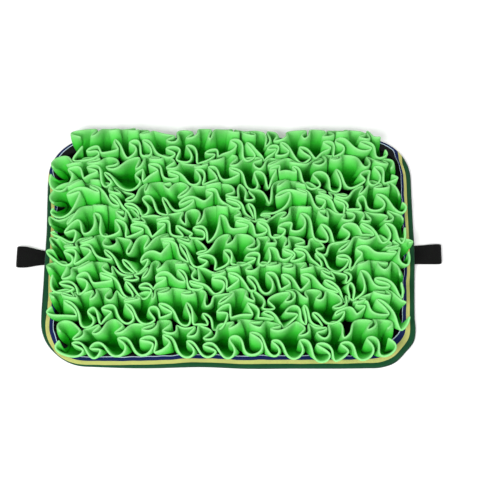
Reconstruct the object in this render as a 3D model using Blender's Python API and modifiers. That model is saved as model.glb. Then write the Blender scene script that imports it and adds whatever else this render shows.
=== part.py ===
"""Snuffle mat: eight gathered fleece strips sewn on a bound base cloth with two webbing loops.

Frame: metres, +Z up.  The origin is the middle of the underside, X runs along the long side and
the front edge is at -Y.  The underside of the base cloth is flat at z = 0.
"""
import bpy
import numpy as np

# ---- driving sizes -----------------------------------------------------------------------------
MAT_LENGTH = 0.450              # over the bound edge, along X
MAT_WIDTH = 0.300               # over the bound edge, along Y
CORNER_RADIUS = 0.056
FRONT_BOW = 0.002               # the front edge bows out at its middle
SEAT = 0.00045                  # gap left between pieces that touch

BASE_THICKNESS = 0.0025
RIBBON_THICKNESS = 0.0010
BINDING_WIDTH = 0.017           # how far the folded ribbon reaches in over the base cloth
FOLD_ROUNDING = 0.0024          # how far in the ribbon's fold is rounded
SLOPE_WIDTH = 0.004             # where the base cloth comes down from the binding to the floor

WEBBING_THICKNESS = 0.0009
LOOP_REACH = 0.034              # how far a loop stands out from the bound edge
LOOP_GAP = 0.0062               # clear height inside the open end of a loop
TAIL_LENGTH = 0.016             # how far a loop's two tails reach in under the binding
LIFT_LENGTH = 0.036             # half the length of edge that rides up over the tails
LIFT_FLAT = 0.015               # half the length of edge that lies on the tails

FLEECE_THICKNESS = 0.0014
FLAP_WIDTH = 0.031              # from the seam up to the cut rim of a flap
FOOT_HALF_WIDTH = 0.0019        # half the width of a strip where it is sewn down
FOOT_SLANT = 0.0022             # how far a strip's sewn edges slant with its folds
FOOT_THICKNESS = 0.0016
FIRST_SEAM_Y = -0.1195
SEAM_PITCH = 0.0346
SEAM_SHARE = 0.96               # a strip is gathered shorter at its seam than at its rim
SEAM_DEPTH = 0.0020             # half the depth of the folds at the seam
RIM_DEPTH = 0.0105              # half the depth of the folds at the rim
RIM_SPREAD = 0.0060             # how far a rim's middle line stands from the seam
FOLD_PITCH = 0.0236             # one whole fold along a rim
FOLD_LEAN = -0.28               # folds slant: sideways shift for each metre back
TIGHT_TURN = 0.0017             # half the width of a narrow turn
WIDE_TURN = 0.0044              # half the width of a round turn
MOST_LEAN = 0.88                # a rim's sideways reach, as a share of the flap's width
MITRE_LIMIT = 1.35              # keeps the rim's corners from growing spikes

# The sewn edge isn't quite straight: slow waves round the outline.
EDGE_WAVES = [
    # waves, phase, height
    (5,      0.8,   0.0008),
    (9,      2.0,   0.0005),
]

# Half of the ribbon's fold, from the straight leg to its middle, as shares of the rounding
# and of the whole height.
RIBBON_BEND = [
    # in_share, height_share
    (1.0,       0.0),
    (0.25,      0.18),
    (0.0,       0.5),
]

# The upper leg of a loop from its round end back to the mat, as shares of its reach and gap.
LOOP_RETURN = [
    # out_share, rise_share
    (0.62,       0.96),
    (0.38,       0.55),
]
LOOP_MEETS = 0.14               # where the two legs meet, as a share of the reach

# The four corners of one fold: sideways place and depth of the front and of the back flap.
# The front flap has its wide turns at the front, the back flap has them at the back.
FOLD_CORNERS = [
    # front_x,                     depth, back_x
    (-TIGHT_TURN,                  1.0,   -WIDE_TURN),
    (TIGHT_TURN,                   1.0,   WIDE_TURN),
    (FOLD_PITCH / 2 - WIDE_TURN,   -1.0,  FOLD_PITCH / 2 - TIGHT_TURN),
    (FOLD_PITCH / 2 + WIDE_TURN,   -1.0,  FOLD_PITCH / 2 + TIGHT_TURN),
]

# One line a row, front to back: where its rims end, and how far its flaps lean out.
ROWS = [
    # left_end, right_end, front_lean, back_lean
    (-0.199,    0.196,     0.0015,     0.0),
    (-0.211,    0.210,     0.0,        0.0),
    (-0.207,    0.211,     0.0,        0.0),
    (-0.209,    0.209,     0.0,        0.0),
    (-0.211,    0.208,     0.0,        0.0),
    (-0.209,    0.209,     0.0,        0.0),
    (-0.211,    0.202,     0.0,        0.0),
    (-0.188,    0.184,     0.0,        0.0080),
]

# Slow swells that push the rims about, so that no two folds are alike.
SWELLS = [
    # heading, length, phase, push_x,  push_y
    (0.3,      0.140,  0.5,   0.0045,  0.0),
    (1.4,      0.095,  1.9,   0.0,     0.0030),
    (2.3,      0.085,  4.0,   0.0026,  0.0012),
    (0.9,      0.075,  2.2,   0.0014,  0.0020),
    (2.9,      0.110,  0.1,   -0.0025, 0.0022),
]

# Single places where the folds are pulled out of line.
PULLS = [
    # x,     y,      reach,  push_x, push_y
    (0.127,  -0.138, 0.017,  0.002,  -0.0050),      # a front fold hangs over the binding
    (0.155,  0.146,  0.020,  0.0,    0.0040),       # a back fold stands out
    (0.060,  0.062,  0.032,  0.006,  0.0020),       # tight folds right of the middle
    (-0.150, 0.060,  0.034,  -0.005, 0.0020),       # loose folds at the left
]

# The two loops: the side they are on, their place along it, and their width where they leave
# the edge and at their open end.
LOOPS = [
    # name,        side, y,      seam_width, end_width
    ("loop_left",  -1.0, -0.012, 0.0185,     0.0255),
    ("loop_right", 1.0,  -0.006, 0.0240,     0.0240),
]

BINDING_COLOUR = (0.012, 0.16, 0.055)
FLEECE_COLOUR = (0.12, 0.62, 0.10)
BASE_COLOUR = (0.012, 0.013, 0.012)
WEBBING_COLOUR = (0.010, 0.010, 0.011)


# ---- scene helpers -----------------------------------------------------------------------------
def clear_scene():
    """Remove whatever the file holds."""
    for thing in list(bpy.data.objects):
        bpy.data.objects.remove(thing, do_unlink=True)


def make_collection(name):
    collection = bpy.data.collections.new(name)
    bpy.context.scene.collection.children.link(collection)
    return collection


def make_material(name, colour, roughness):
    material = bpy.data.materials.new(name)
    material.use_nodes = True
    shader = material.node_tree.nodes["Principled BSDF"]
    shader.inputs["Base Color"].default_value = (*colour, 1.0)
    shader.inputs["Roughness"].default_value = roughness
    shader.inputs["Metallic"].default_value = 0.0
    return material


def add_mesh(collection, name, points, faces, material):
    """Put points and faces in the collection as one named object."""
    mesh = bpy.data.meshes.new(name)
    mesh.from_pydata(points.tolist(), [], faces)
    mesh.update()
    thing = bpy.data.objects.new(name, mesh)
    mesh.materials.append(material)
    collection.objects.link(thing)
    return thing


def base_cloth():
    return make_material("base_cloth", BASE_COLOUR, 0.9)


def striped_ribbon():
    return make_material("striped_ribbon", BINDING_COLOUR, 0.7)


def black_webbing():
    return make_material("black_webbing", WEBBING_COLOUR, 0.8)


def green_fleece():
    return make_material("green_fleece", FLEECE_COLOUR, 0.95)


def quads_between(rows, columns, close_rows, close_columns):
    """Faces of a grid of points numbered row by row, wrapped round where it is closed."""
    row_steps = rows if close_rows else rows - 1
    column_steps = columns if close_columns else columns - 1
    faces = []
    for row in range(row_steps):
        below = (row + 1) % rows
        for column in range(column_steps):
            right = (column + 1) % columns
            faces.append((row * columns + column, row * columns + right,
                          below * columns + right, below * columns + column))
    return faces


def smoothstep(value):
    value = np.clip(value, 0.0, 1.0)
    return value * value * (3.0 - 2.0 * value)


# ---- the mat's outline -------------------------------------------------------------------------
def side_stations(start, end, side):
    """Points along one straight side, closer together where the edge rides up over a loop."""
    if side == "long":
        shares = np.linspace(0.0, 1.0, 5)[1:-1, None]
        return start + (end - start) * shares
    loop_y = [y for _, loop_side, y, _, _ in LOOPS if loop_side * start[0] > 0][0]
    places = loop_y + np.array([-LIFT_LENGTH, -LIFT_FLAT, LIFT_FLAT, LIFT_LENGTH])
    if end[1] < start[1]:
        places = places[::-1]
    return np.stack([np.full(len(places), start[0]), places], axis=1)


def outline(inset):
    """Points round the mat, counter-clockwise from above, this far inside its edge."""
    half_x = MAT_LENGTH / 2 - CORNER_RADIUS
    half_y = MAT_WIDTH / 2 - CORNER_RADIUS
    turns = np.linspace(0.0, np.pi / 2, 6)
    corners = [((half_x, -half_y), -np.pi / 2, "short"), ((half_x, half_y), 0.0, "long"),
               ((-half_x, half_y), np.pi / 2, "short"), ((-half_x, -half_y), np.pi, "long")]
    places, normals = [], []
    for index, (centre, first_angle, side) in enumerate(corners):
        angles = first_angle + turns
        spokes = np.stack([np.cos(angles), np.sin(angles)], axis=1)
        places.append(np.array(centre) + CORNER_RADIUS * spokes)
        normals.append(spokes)
        next_centre = np.array(corners[(index + 1) % 4][0])
        between = side_stations(places[-1][-1], next_centre + CORNER_RADIUS * spokes[-1], side)
        places.append(between)
        normals.append(np.repeat(spokes[-1:], len(between), axis=0))
    places = np.concatenate(places)
    normals = np.concatenate(normals)
    turn = np.arctan2(places[:, 1], places[:, 0])
    wobble = sum(height * np.sin(waves * turn + phase) for waves, phase, height in EDGE_WAVES)
    bow = FRONT_BOW * np.cos(np.pi * places[:, 0] / MAT_LENGTH) * (normals[:, 1] < -0.99)
    return places + normals * (wobble + bow - inset)[:, None]


def ring(inset, height):
    """One ring of 3-D points round the mat, which rides up over the two tails of each loop."""
    places = outline(inset)
    across = smoothstep((BINDING_WIDTH + SLOPE_WIDTH - inset) / SLOPE_WIDTH)
    lift = np.zeros(len(places))
    for _, side, y, _, _ in LOOPS:
        along = (LIFT_LENGTH - np.abs(places[:, 1] - y)) / (LIFT_LENGTH - LIFT_FLAT)
        lift += smoothstep(along) * across * (side * places[:, 0] > MAT_LENGTH / 4)
    return np.column_stack([places, height + lift * 2 * (WEBBING_THICKNESS + SEAT)])


# ---- base cloth and binding --------------------------------------------------------------------
def build_base_panel(collection):
    """One sheet of cloth: flat on the floor, its edge a ribbon's thickness higher in the binding."""
    edge_z = RIBBON_THICKNESS + SEAT
    flat_inset = BINDING_WIDTH + SLOPE_WIDTH
    rounded_inset = FOLD_ROUNDING + 2 * SEAT
    section = [
        (flat_inset, 0.0),
        (BINDING_WIDTH, edge_z),
        (rounded_inset, edge_z),
        (RIBBON_THICKNESS + 2 * SEAT, edge_z + BASE_THICKNESS / 2),
        (rounded_inset, edge_z + BASE_THICKNESS),
        (BINDING_WIDTH, edge_z + BASE_THICKNESS),
        (flat_inset, BASE_THICKNESS),
    ]
    rings = [ring(inset, height) for inset, height in section]
    count = len(rings[0])
    faces = quads_between(len(rings), count, False, True)
    faces.append(tuple(range(count))[::-1])
    faces.append(tuple(range((len(rings) - 1) * count, len(rings) * count)))
    return add_mesh(collection, "base_panel", np.concatenate(rings), faces, base_cloth())


def build_edge_binding(collection):
    """A ribbon folded over the cloth's edge: a C-shaped section carried round the outline."""
    top = 2 * (RIBBON_THICKNESS + SEAT) + BASE_THICKNESS
    lower = [(FOLD_ROUNDING * inward, top * rise) for inward, rise in RIBBON_BEND]
    upper = [(inset, top - height) for inset, height in lower[-2::-1]]
    section = [
        (BINDING_WIDTH, 0.0),
        *lower,
        *upper,
        (BINDING_WIDTH, top),
        (BINDING_WIDTH, top - RIBBON_THICKNESS),
        (FOLD_ROUNDING, top - RIBBON_THICKNESS),
        (RIBBON_THICKNESS, top / 2),
        (FOLD_ROUNDING, RIBBON_THICKNESS),
        (BINDING_WIDTH, RIBBON_THICKNESS),
    ]
    rings = [ring(inset, height) for inset, height in section]
    faces = quads_between(len(rings), len(rings[0]), True, True)
    return add_mesh(collection, "edge_binding", np.concatenate(rings), faces, striped_ribbon())


# ---- webbing loops -----------------------------------------------------------------------------
def loop_path():
    """The middle line of a folded webbing: out along the floor, round, and back on top."""
    low = WEBBING_THICKNESS / 2
    second = low + WEBBING_THICKNESS + SEAT
    round_radius = (LOOP_GAP + WEBBING_THICKNESS) / 2
    round_x = LOOP_REACH - round_radius - WEBBING_THICKNESS / 2
    angles = np.radians([-90.0, -45.0, 0.0, 45.0, 90.0])
    bend = np.stack([round_x + round_radius * np.cos(angles),
                     low + round_radius + round_radius * np.sin(angles)], axis=1)
    out = [(-TAIL_LENGTH, low), (0.0, low)]
    back = [(LOOP_REACH * outward, low + LOOP_GAP * rise) for outward, rise in LOOP_RETURN]
    tail = [(LOOP_REACH * LOOP_MEETS, second), (-TAIL_LENGTH, second)]
    return np.concatenate([out, bend, back, tail])


def build_loop(collection, name, side, y, seam_width, end_width, material):
    """One loop: an open strip along the path, given its thickness by Solidify."""
    path = loop_path()
    widening = smoothstep(path[:, 0] / (LOOP_REACH * 0.75))
    half_width = (seam_width + (end_width - seam_width) * widening) / 2
    x = side * (MAT_LENGTH / 2 + path[:, 0])
    front = np.column_stack([x, y - half_width, path[:, 1]])
    back = np.column_stack([x, y + half_width, path[:, 1]])
    strip = np.concatenate([front, back])
    faces = quads_between(2, len(path), False, False)
    if side < 0:
        faces = [face[::-1] for face in faces]
    thing = add_mesh(collection, name, strip, faces, material)
    solidify = thing.modifiers.new("thickness", "SOLIDIFY")
    solidify.thickness = WEBBING_THICKNESS
    solidify.offset = 0.0
    solidify.use_even_offset = True
    return thing


# ---- fleece ruffles ----------------------------------------------------------------------------
def pushed(places):
    """Rim places after the swells and the single pulls."""
    x, y = places[:, 0], places[:, 1]
    moved = places.copy()
    for heading, length, phase, push_x, push_y in SWELLS:
        along = x * np.cos(heading) + y * np.sin(heading)
        swell = np.sin(2 * np.pi * along / length + phase)
        moved += np.outer(swell, (push_x, push_y))
    for pull_x, pull_y, reach, push_x, push_y in PULLS:
        near = np.exp(-((x - pull_x) ** 2 + (y - pull_y) ** 2) / (2 * reach ** 2))
        moved += np.outer(near, (push_x, push_y))
    return moved


def held_to(seam, rim):
    """Rim places drawn in where a flap couldn't reach them and still stand."""
    reach = np.linalg.norm(rim - seam, axis=1)
    return seam + (rim - seam) * np.minimum(1.0, MOST_LEAN * FLAP_WIDTH / reach)[:, None]


def fold_stations(row):
    """Where a row's folds turn: (fold number, corner number) from its left end to its right."""
    left_end, right_end, _, _ = ROWS[row]
    slide = FOLD_LEAN * SEAM_PITCH * row
    first = int(np.floor((left_end - slide) / FOLD_PITCH)) - 1
    last = int(np.ceil((right_end - slide) / FOLD_PITCH)) + 1
    stations = []
    for fold in range(first, last + 1):
        for corner, (front_x, _, back_x) in enumerate(FOLD_CORNERS):
            middle = fold * FOLD_PITCH + (front_x + back_x) / 2 + slide
            if left_end < middle < right_end:
                stations.append((fold, corner))
    return stations


def flap_lines(row, side):
    """A flap's seam line and rim line in plan, for side -1 (front) or 1 (back)."""
    _, _, front_lean, back_lean = ROWS[row]
    lean = front_lean if side < 0 else back_lean
    stations = fold_stations(row)
    folds = np.array([fold for fold, _ in stations])
    corners = np.array(FOLD_CORNERS)[[corner for _, corner in stations]]
    turn_x = corners[:, 0] if side < 0 else corners[:, 2]
    depth = corners[:, 1]
    seam_y = FIRST_SEAM_Y + SEAM_PITCH * row
    rim_off = side * RIM_SPREAD + RIM_DEPTH * depth
    slant = FOLD_LEAN * (SEAM_PITCH * row + rim_off)
    rim = np.column_stack([folds * FOLD_PITCH + turn_x + slant,
                           seam_y + rim_off + side * lean])
    middle_x = folds * FOLD_PITCH + (corners[:, 0] + corners[:, 2]) / 2 + FOLD_LEAN * SEAM_PITCH * row
    seam = np.column_stack([middle_x * SEAM_SHARE, seam_y + SEAM_DEPTH * depth])
    return seam, held_to(seam, pushed(rim))


def sideways(line):
    """Unit normals to the left of a plan line, a little longer at corners to hold the width."""
    steps = np.diff(line, axis=0)
    steps /= np.linalg.norm(steps, axis=1)[:, None]
    before = np.concatenate([steps[:1], steps])
    after = np.concatenate([steps, steps[-1:]])
    tangent = before + after
    tangent /= np.linalg.norm(tangent, axis=1)[:, None]
    mitre = 1.0 / np.maximum((tangent * after).sum(axis=1), 1.0 / MITRE_LIMIT)
    return np.column_stack([-tangent[:, 1], tangent[:, 0]]) * mitre[:, None]


def flap_rim(row, side):
    """The two edges of a flap's cut rim, left and right of its middle line, in 3-D."""
    seam, rim = flap_lines(row, side)
    reach = np.linalg.norm(rim - seam, axis=1)
    height = BASE_THICKNESS + SEAT + np.sqrt(FLAP_WIDTH ** 2 - reach ** 2)
    across = sideways(rim) * FLEECE_THICKNESS / 2
    return np.column_stack([rim + across, height]), np.column_stack([rim - across, height])


def rising_diagonals(row, side):
    """Whether each wall panel is split from its seam's start to its rim's end.

    Both faces of a wall are split alike, or they would cut through each other.
    """
    seam, rim = flap_lines(row, side)
    rising = np.linalg.norm(rim[1:] - seam[:-1], axis=1)
    falling = np.linalg.norm(rim[:-1] - seam[1:], axis=1)
    return rising > falling


def build_ruffle_row(collection, row, material):
    """One strip: seven lines carried along the row and lofted into a wavy V with a narrow foot."""
    seam, _ = flap_lines(row, -1)
    floor = np.full(len(seam), BASE_THICKNESS + SEAT)
    turning_forward = [1 if corner in (1, 2) else -1 for _, corner in fold_stations(row)]
    to_back = np.column_stack([FOOT_SLANT * np.array(turning_forward),
                               np.full(len(seam), FOOT_HALF_WIDTH)])
    front_inner, front_outer = flap_rim(row, -1)
    back_outer, back_inner = flap_rim(row, 1)
    lines = [
        front_outer,
        front_inner,
        np.column_stack([seam, floor + FOOT_THICKNESS]),
        back_inner,
        back_outer,
        np.column_stack([seam + to_back, floor]),
        np.column_stack([seam - to_back, floor]),
    ]
    count = len(seam)
    rising = {-1: rising_diagonals(row, -1), 1: rising_diagonals(row, 1)}
    faces = []
    for a, b, c, d in quads_between(len(lines), count, True, False):
        line, step = divmod(a, count)
        side = 1 if line in (2, 3, 4) else -1
        seam_first = line in (2, 6)
        split_ac = rising[side][step] == seam_first
        faces += [(a, b, c), (a, c, d)] if split_ac else [(a, b, d), (b, c, d)]
    front_wall, back_wall = (0, 1, 2, 6), (2, 3, 4, 5, 6)
    for wall in (front_wall, back_wall):
        faces.append(tuple(line * count for line in wall))
        faces.append(tuple(line * count + count - 1 for line in reversed(wall)))
    return add_mesh(collection, f"ruffle_row_{row + 1}", np.concatenate(lines), faces, material)


# ---- the whole mat -----------------------------------------------------------------------------
def build_mat():
    clear_scene()
    collection = make_collection("snuffle_mat")
    build_base_panel(collection)
    build_edge_binding(collection)
    webbing = black_webbing()
    for name, side, y, seam_width, end_width in LOOPS:
        build_loop(collection, name, side, y, seam_width, end_width, webbing)
    fleece = green_fleece()
    for row in range(len(ROWS)):
        build_ruffle_row(collection, row, fleece)


build_mat()
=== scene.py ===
# %% [markdown]
# # A snuffle mat in gathered fleece
# The mat is a black base cloth with a striped ribbon folded over its edge, two webbing loops,
# and eight strips of green fleece. Each strip is gathered and sewn down along its middle, so
# that both of its halves stand up as ruffles. This lesson makes each piece as a sheet of its
# own, lets the fleece settle by a small cloth solver, and dyes every piece with procedural
# materials.

import bpy
import numpy as np
from mathutils import Matrix, Vector


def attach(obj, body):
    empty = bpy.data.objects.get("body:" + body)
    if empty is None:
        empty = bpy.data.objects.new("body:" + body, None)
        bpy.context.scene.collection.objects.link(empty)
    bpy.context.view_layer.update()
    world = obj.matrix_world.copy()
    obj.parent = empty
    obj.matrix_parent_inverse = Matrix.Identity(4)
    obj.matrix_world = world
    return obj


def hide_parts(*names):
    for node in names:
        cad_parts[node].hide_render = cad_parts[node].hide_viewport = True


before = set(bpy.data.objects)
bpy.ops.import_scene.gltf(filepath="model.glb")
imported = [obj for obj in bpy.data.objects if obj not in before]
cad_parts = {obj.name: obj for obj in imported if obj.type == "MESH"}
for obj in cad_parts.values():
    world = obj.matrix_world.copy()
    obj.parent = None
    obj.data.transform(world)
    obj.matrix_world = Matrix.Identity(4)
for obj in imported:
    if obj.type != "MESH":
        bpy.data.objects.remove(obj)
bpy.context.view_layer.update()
print("solids:", ", ".join(sorted(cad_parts)))

# %% [markdown]
# ## Camera, light and floor
# The mat lies on a pale table and is looked at from well above its front edge with a long lens,
# which keeps its long sides nearly parallel. A big soft light over the front left gives the
# fleece its round shading, a weaker one fills the right, and an even sky keeps the table white.
# The folds have to stay darker inside than outside, so the sky is weak.

# %% Camera
CAMERA_AIM = (0.02553, -0.00002, 0.0)
CAMERA_ELEVATION = np.radians(68.62)
CAMERA_AZIMUTH = np.radians(0.717)
CAMERA_ROLL = np.radians(-0.42)
CAMERA_DISTANCE = 1.8696
CAMERA_LENS = 110.1


def add_object(name, data):
    """A new object in the scene."""
    added = bpy.data.objects.new(name, data)
    bpy.context.scene.collection.objects.link(added)
    return added


def place_camera():
    """The camera is turned at its aim by azimuth, tilt and roll, and then drawn straight back."""
    lens = bpy.data.cameras.new("camera")
    lens.lens = CAMERA_LENS
    camera = add_object("camera", lens)
    camera.matrix_world = (
        Matrix.Translation(CAMERA_AIM) @ Matrix.Rotation(CAMERA_AZIMUTH, 4, "Z")
        @ Matrix.Rotation(np.pi / 2 - CAMERA_ELEVATION, 4, "X")
        @ Matrix.Rotation(CAMERA_ROLL, 4, "Z") @ Matrix.Translation((0, 0, CAMERA_DISTANCE)))
    bpy.context.scene.camera = camera
    return camera


print("camera at", [round(value, 3) for value in place_camera().location])

# %% Lights and sky
SKY_STRENGTH = 0.38
LIGHTS = [
    # name, place, watts
    ("key_light", (-0.60, -0.95, 1.35), 32.0),
    ("fill_light", (0.95, -0.55, 1.15), 10.0),
    ("back_light", (0.10, 1.10, 1.30), 7.0),
]
LIGHT_SIZE = 0.9


def place_light(name, place, watts):
    """A square soft light that looks at the middle of the mat."""
    lamp = bpy.data.lights.new(name, "AREA")
    lamp.energy = watts
    lamp.size = LIGHT_SIZE
    light = add_object(name, lamp)
    light.location = place
    light.rotation_euler = (-Vector(place)).to_track_quat("-Z", "Y").to_euler()


for name, place, watts in LIGHTS:
    place_light(name, place, watts)

sky = bpy.data.worlds.new("studio")
sky.use_nodes = True
background = sky.node_tree.nodes["Background"].inputs
background["Color"].default_value = (1.0, 1.0, 1.0, 1.0)
background["Strength"].default_value = SKY_STRENGTH
bpy.context.scene.world = sky
bpy.context.scene.view_settings.view_transform = "Standard"
print("lights:", len(LIGHTS))

# %% [markdown]
# ## Helpers for every sheet
# Each piece of cloth is a grid of places, rows by columns. The first helper joins neighbours
# into four-sided faces and keeps where each corner lay on the flat cloth as a UV map in metres,
# so that a weave or a stripe follows the cloth through its folds.

# %% Sheet helpers


def make_sheet(name, places, flat, closed=False):
    """A mesh from a grid of places (rows, columns, 3) and their flat places (rows, columns, 2).

    Face (i, j) joins places (i, j), (i+1, j), (i+1, j+1) and (i, j+1). A closed sheet's last row
    is its first.
    """
    rows, columns, _ = places.shape
    point = np.arange(rows * columns).reshape(rows, columns)
    corner = np.stack([point[:-1, :-1], point[1:, :-1], point[1:, 1:], point[:-1, 1:]], axis=-1)
    corner = corner.reshape(-1, 4)
    used = corner % ((rows - 1) * columns) if closed else corner
    count = (rows - 1) * columns if closed else rows * columns
    mesh = bpy.data.meshes.new(name)
    mesh.from_pydata(places.reshape(-1, 3)[:count], [], used)
    cloth = mesh.uv_layers.new(name="cloth")
    cloth.data.foreach_set("uv", flat.reshape(-1, 2)[corner.ravel()].ravel())
    mesh.shade_smooth()
    return add_object(name, mesh)


def thicken(sheet, thickness, rounded=True):
    """Gives a sheet its thickness, half to each side, and rounds its edges if asked."""
    wall = sheet.modifiers.new("thickness", "SOLIDIFY")
    wall.thickness = thickness
    wall.offset = 0.0
    wall.use_quality_normals = True
    if rounded:
        soft = sheet.modifiers.new("rounding", "SUBSURF")
        soft.levels = 1
        soft.render_levels = 1


def smoothstep(value):
    """0 below 0, 1 above 1, and value squared times (3 - 2 * value) between."""
    value = np.clip(value, 0.0, 1.0)
    return value * value * (3.0 - 2.0 * value)


def running_total(steps):
    """0, and then the sum of the steps so far."""
    return np.concatenate([[0.0], np.cumsum(steps)])


# %% Floor
TABLE_REACH = 3.0
TABLE_DROP = 0.0004
sides = (-TABLE_REACH, TABLE_REACH)
floor_places = np.array([[(x, y, -TABLE_DROP) for y in sides] for x in sides])
table_top = make_sheet("table_top", floor_places, floor_places[:, :, :2])
print("table top, metres across:", 2 * TABLE_REACH)

# %% [markdown]
# ## The outline of the mat
# All the pieces follow one outline: a rectangle with round corners, whose sewn edge wanders a
# little and bows out at the front. A place on it is given by its distance round the edge, and
# an inset moves it inwards along the edge's normal. Where the two tails of a loop lie under the
# edge, the cloth rides up over them.

# %% Outline
MAT_LENGTH = 0.450
MAT_WIDTH = 0.300
CORNER_RADIUS = 0.056
FRONT_BOW = 0.002
FRONT_FROM = 0.7
FRONT_EASE = 0.3
EDGE_WAVES = [
    # waves, phase, height
    (5, 0.8, 0.0008),
    (9, 2.0, 0.0005),
]
SEAT = 0.00045
BASE_THICKNESS = 0.0025
RIBBON_THICKNESS = 0.0010
BINDING_WIDTH = 0.017
FOLD_ROUNDING = 0.0024
SLOPE_WIDTH = 0.004
WEBBING_THICKNESS = 0.0009
LIFT_LENGTH = 0.036
LIFT_FLAT = 0.015
LOOPS = [
    # name, side, y, seam_width, end_width
    ("loop_left", -1.0, -0.012, 0.0185, 0.0255),
    ("loop_right", 1.0, -0.006, 0.0240, 0.0240),
]
HALF_X = MAT_LENGTH / 2 - CORNER_RADIUS
HALF_Y = MAT_WIDTH / 2 - CORNER_RADIUS
ROUND_LENGTH = 4 * HALF_X + 4 * HALF_Y + 2 * np.pi * CORNER_RADIUS


def outline(distance, inset):
    """Plan places at a distance round the edge from the front right corner, counter-clockwise.

    The edge is four quarter turns, each followed by a straight run. Slow sine waves in the polar
    angle and a bow along the front are added along its normal.
    """
    quarter = np.pi / 2 * CORNER_RADIUS
    runs = [2 * HALF_Y, 2 * HALF_X, 2 * HALF_Y, 2 * HALF_X]
    centres = [(HALF_X, -HALF_Y), (HALF_X, HALF_Y), (-HALF_X, HALF_Y), (-HALF_X, -HALF_Y)]
    left = np.mod(distance, ROUND_LENGTH)
    x, y, heading = np.zeros((3, *left.shape))
    start = 0.0
    for index, (centre, run) in enumerate(zip(centres, runs)):
        angle = -np.pi / 2 + index * np.pi / 2
        turned = np.clip((left - start) / CORNER_RADIUS, 0.0, np.pi / 2)
        along = np.clip(left - start - quarter, 0.0, run)
        mine = (left >= start) & (left < start + quarter + run + 1e-12)
        way = angle + turned
        x = np.where(mine, centre[0] + CORNER_RADIUS * np.cos(way) - along * np.sin(way), x)
        y = np.where(mine, centre[1] + CORNER_RADIUS * np.sin(way) + along * np.cos(way), y)
        heading = np.where(mine, way, heading)
        start += quarter + run
    polar = np.arctan2(y, x)
    wobble = sum(height * np.sin(waves * polar + phase) for waves, phase, height in EDGE_WAVES)
    front = smoothstep((-np.sin(heading) - FRONT_FROM) / FRONT_EASE)
    bow = FRONT_BOW * np.cos(np.pi * x / MAT_LENGTH) * front
    out = wobble + bow - inset
    return x + np.cos(heading) * out, y + np.sin(heading) * out


def inset_at(x, y):
    """Distance in from the even outline: from its nearest side, or from a corner's arc."""
    past_x, past_y = np.abs(x) - HALF_X, np.abs(y) - HALF_Y
    outward = np.hypot(np.maximum(past_x, 0), np.maximum(past_y, 0))
    outward += np.minimum(np.maximum(past_x, past_y), 0)
    return CORNER_RADIUS - outward


def edge_rise(inset):
    """1 where the binding holds the cloth, 0 inside it, and a smooth slope between."""
    return smoothstep((BINDING_WIDTH + SLOPE_WIDTH - inset) / SLOPE_WIDTH)


def lift_over_tails(x, y, inset):
    """How far the edge rides up: both tails' thickness beside a loop, and nothing elsewhere."""
    lift = np.zeros_like(x)
    for _, side, loop_y, _, _ in LOOPS:
        along = (LIFT_LENGTH - np.abs(y - loop_y)) / (LIFT_LENGTH - LIFT_FLAT)
        lift = lift + smoothstep(along) * edge_rise(inset) * (side * x > MAT_LENGTH / 4)
    return lift * 2 * (WEBBING_THICKNESS + SEAT)


print("edge length, metres:", round(ROUND_LENGTH, 3))

# %% [markdown]
# ## Base cloth
# The base is one flat piece of black cloth. Each row of its grid is as wide as the mat is there,
# so that the sheet follows the round corners. Its edge rises by a ribbon's thickness where it
# goes into the binding, and each seam of the strips pulls a shallow row of puckers in it.

# %% Base cloth shape
FIRST_SEAM_Y = -0.1195
SEAM_PITCH = 0.0346
ROW_COUNT = 8
BASE_ROWS = 81
BASE_COLUMNS = 133
BASE_SLACK = 0.0003
PUCKER_HEIGHT = 0.00035
PUCKER_LENGTH = 0.011
PUCKER_WIDTH = 0.005
PUCKER_SLANT = 40


def half_width_at(y, inset):
    """Half the mat's width at y: full between the corners, and a circle's chord beside them."""
    past = np.maximum(np.abs(y) - HALF_Y, 0.0)
    radius = CORNER_RADIUS - inset
    return HALF_X + np.sqrt(np.maximum(radius ** 2 - past ** 2, 0.0))


def base_cloth_sheet():
    """Place (u, v) is (u * half_width(v), v), and its height follows its distance in."""
    edge_inset = RIBBON_THICKNESS + 4 * SEAT
    reach = MAT_WIDTH / 2 - edge_inset
    row_y = reach * np.sin(np.linspace(-np.pi / 2, np.pi / 2, BASE_ROWS))
    column_u = np.sin(np.linspace(-np.pi / 2, np.pi / 2, BASE_COLUMNS))
    y, u = np.meshgrid(row_y, column_u, indexing="ij")
    x = u * half_width_at(y, edge_inset)
    inset = inset_at(x, y)
    rise = edge_rise(inset)
    height = BASE_THICKNESS / 2 + rise * (RIBBON_THICKNESS + SEAT) + lift_over_tails(x, y, inset)
    from_seam = np.mod(y - FIRST_SEAM_Y + SEAM_PITCH / 2, SEAM_PITCH) - SEAM_PITCH / 2
    wave = np.sin(2 * np.pi * x / PUCKER_LENGTH + PUCKER_SLANT * y)
    pucker = np.exp(-(from_seam / PUCKER_WIDTH) ** 2) * (0.5 + 0.5 * wave)
    height += PUCKER_HEIGHT * pucker * (1 - rise)
    places = np.stack([x, y, height], axis=-1).transpose(1, 0, 2)
    sheet = make_sheet("base_cloth", places, places[:, :, :2])
    thicken(sheet, BASE_THICKNESS - BASE_SLACK, rounded=False)
    return sheet


base_cloth = base_cloth_sheet()
print("base cloth places:", len(base_cloth.data.vertices))

# %% [markdown]
# ## Striped binding
# One long ribbon is folded over the edge and sewn through, so its stripes show alike above and
# below. Its section is a narrow U on its side: a leg below, a round fold at the outside, and a
# leg on top. Carried round the outline, it becomes a sheet whose rows go round the mat. The top
# leg's inner edge lifts and wanders a little between stitches. The ribbon wasn't sewn on evenly:
# along the back it is rolled under, on both sides less of it shows on top, and at the front
# right corner it is pulled into a blunt point. So a table says, round the mat, how far it is
# rolled to the underside, how wide its inner part lies and how far it stands out.

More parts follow.
